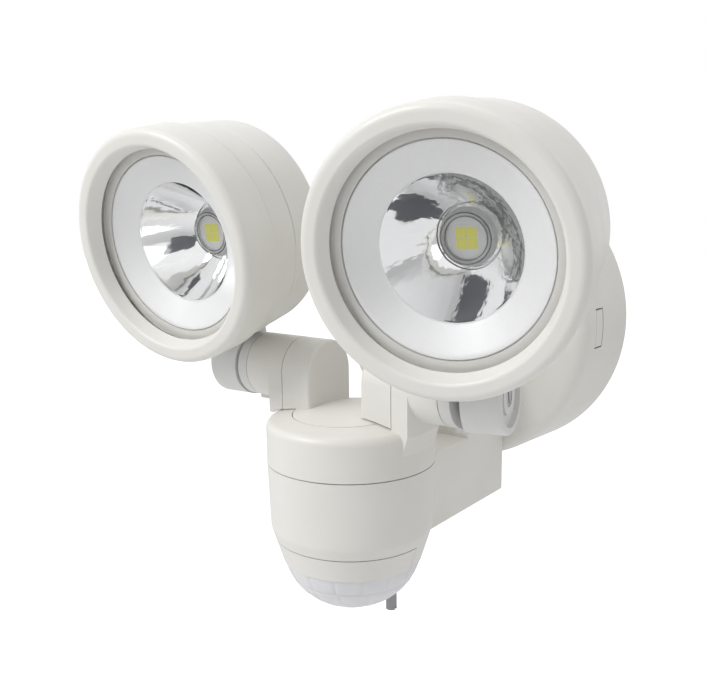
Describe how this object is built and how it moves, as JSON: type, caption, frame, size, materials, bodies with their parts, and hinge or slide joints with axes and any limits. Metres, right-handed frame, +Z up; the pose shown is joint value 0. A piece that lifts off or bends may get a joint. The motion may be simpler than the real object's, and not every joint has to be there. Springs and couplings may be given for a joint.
{
  "type": "motion sensor security light",
  "caption": "Wall-mounted battery security light: round case, bracket, sensor body with dome and round lamp heads that tilt and swivel.",
  "frame": {"origin": "centre of the wall plate's back face, where the light meets the wall", "axes": "+Z up, -Y out of the wall towards the front of the light, +X to the right of someone who faces it"},
  "size_m": [0.2083, 0.1716, 0.1978],
  "materials": {
    "case_plastic": "satin off-white ABS",
    "joint_plastic": "satin off-white nylon",
    "dome_plastic": "milky polyethylene",
    "knob_plastic": "grey nylon",
    "inner_plastic": "black",
    "clear_lens": "clear polycarbonate",
    "silvered": "metallised plastic",
    "led_phosphor": "yellow phosphor under silicone",
    "led_base": "white solder mask",
    "rubber_seal": "black",
    "screw_steel": "zinc plated",
    "spring_steel": "nickel plated",
    "heat_alloy": "as cast",
    "cell_jacket": "plain printed sleeve",
    "circuit_board": "green solder mask",
    "can_metal": "nickel plated can"
  },
  "bodies": {
    "fixture": {"wall_plate": "case_plastic", "case_seal": "rubber_seal", "battery_case": "case_plastic", "battery_cradle": "inner_plastic", "battery_cells": "cell_jacket", "cell_springs": "spring_steel", "cell_contacts": "spring_steel", "post_screws": "screw_steel", "main_housing": "case_plastic", "top_collar": "case_plastic", "left_arm": "case_plastic", "hub_disc": "case_plastic", "right_block_cap": "case_plastic", "collar_screws": "screw_steel", "control_board": "circuit_board", "control_parts": "inner_plastic", "sensor_ring": "case_plastic", "pir_dome": "dome_plastic", "sensor_board": "circuit_board", "pir_sensor": "can_metal", "light_cell": "clear_lens", "adjuster_pots": "inner_plastic", "left_tilt_bolt": "screw_steel", "right_tilt_bolt": "screw_steel", "left_spring_washer": "spring_steel", "right_spring_washer": "spring_steel"},
    "left_release": {"left_release_tongue": "case_plastic"},
    "right_release": {"right_release_tongue": "case_plastic"},
    "time_adjuster": {"time_knob": "knob_plastic"},
    "light_adjuster": {"light_knob": "knob_plastic"},
    "left_tilt_piece": {"left_tilt_hub": "joint_plastic", "left_swivel_pin": "screw_steel"},
    "left_lamp": {"left_front_bezel": "case_plastic", "left_lens_cover": "clear_lens", "left_lens_seal": "rubber_seal", "left_reflector": "silvered", "left_led_board": "led_base", "left_led_emitter": "led_phosphor", "left_led_lens": "clear_lens", "left_heat_sink": "heat_alloy", "left_mid_housing": "case_plastic", "left_rear_housing": "case_plastic", "left_head_screws": "screw_steel", "left_knuckle": "joint_plastic", "left_knuckle_screw": "screw_steel"},
    "right_tilt_piece": {"right_tilt_hub": "joint_plastic", "right_swivel_pin": "screw_steel"},
    "right_lamp": {"right_front_bezel": "case_plastic", "right_lens_cover": "clear_lens", "right_lens_seal": "rubber_seal", "right_reflector": "silvered", "right_led_board": "led_base", "right_led_emitter": "led_phosphor", "right_led_lens": "clear_lens", "right_heat_sink": "heat_alloy", "right_mid_housing": "case_plastic", "right_rear_housing": "case_plastic", "right_head_screws": "screw_steel", "right_knuckle": "joint_plastic", "right_knuckle_screw": "screw_steel"}
  },
  "joints": [
    {"name": "left_tilt", "type": "hinge", "parent": "fixture", "child": "left_tilt_piece", "pos_m": [-0.057, -0.1147, -0.0122], "axis": [1, 0, 0], "range_deg": [-30, 60]},
    {"name": "left_swivel", "type": "hinge", "parent": "left_tilt_piece", "child": "left_lamp", "pos_m": [-0.057, -0.1147, -0.0122], "axis": [0, -0.1805, 0.9836], "range_deg": [-21.5, 5]},
    {"name": "left_release", "type": "hinge", "parent": "fixture", "child": "left_release", "pos_m": [-0.0615, -0.0308, 0], "axis": [0, 0, 1], "range_deg": [0, 8], "stiffness_Nm_per_rad": 0.5},
    {"name": "right_tilt", "type": "hinge", "parent": "fixture", "child": "right_tilt_piece", "pos_m": [0.057, -0.1147, -0.0122], "axis": [1, 0, 0], "range_deg": [-30, 60]},
    {"name": "right_swivel", "type": "hinge", "parent": "right_tilt_piece", "child": "right_lamp", "pos_m": [0.057, -0.1147, -0.0122], "axis": [0, -0.1702, 0.9854], "range_deg": [-18.5, 8]},
    {"name": "right_release", "type": "hinge", "parent": "fixture", "child": "right_release", "pos_m": [0.0615, -0.0308, 0], "axis": [0, 0, -1], "range_deg": [0, 8], "stiffness_Nm_per_rad": 0.5},
    {"name": "time_setting", "type": "hinge", "parent": "fixture", "child": "time_adjuster", "pos_m": [0.0069, -0.101, -0.1], "axis": [0, 0, -1], "range_deg": [-135, 135]},
    {"name": "light_setting", "type": "hinge", "parent": "fixture", "child": "light_adjuster", "pos_m": [-0.0069, -0.101, -0.1], "axis": [0, 0, -1], "range_deg": [-135, 135]}
  ]
}
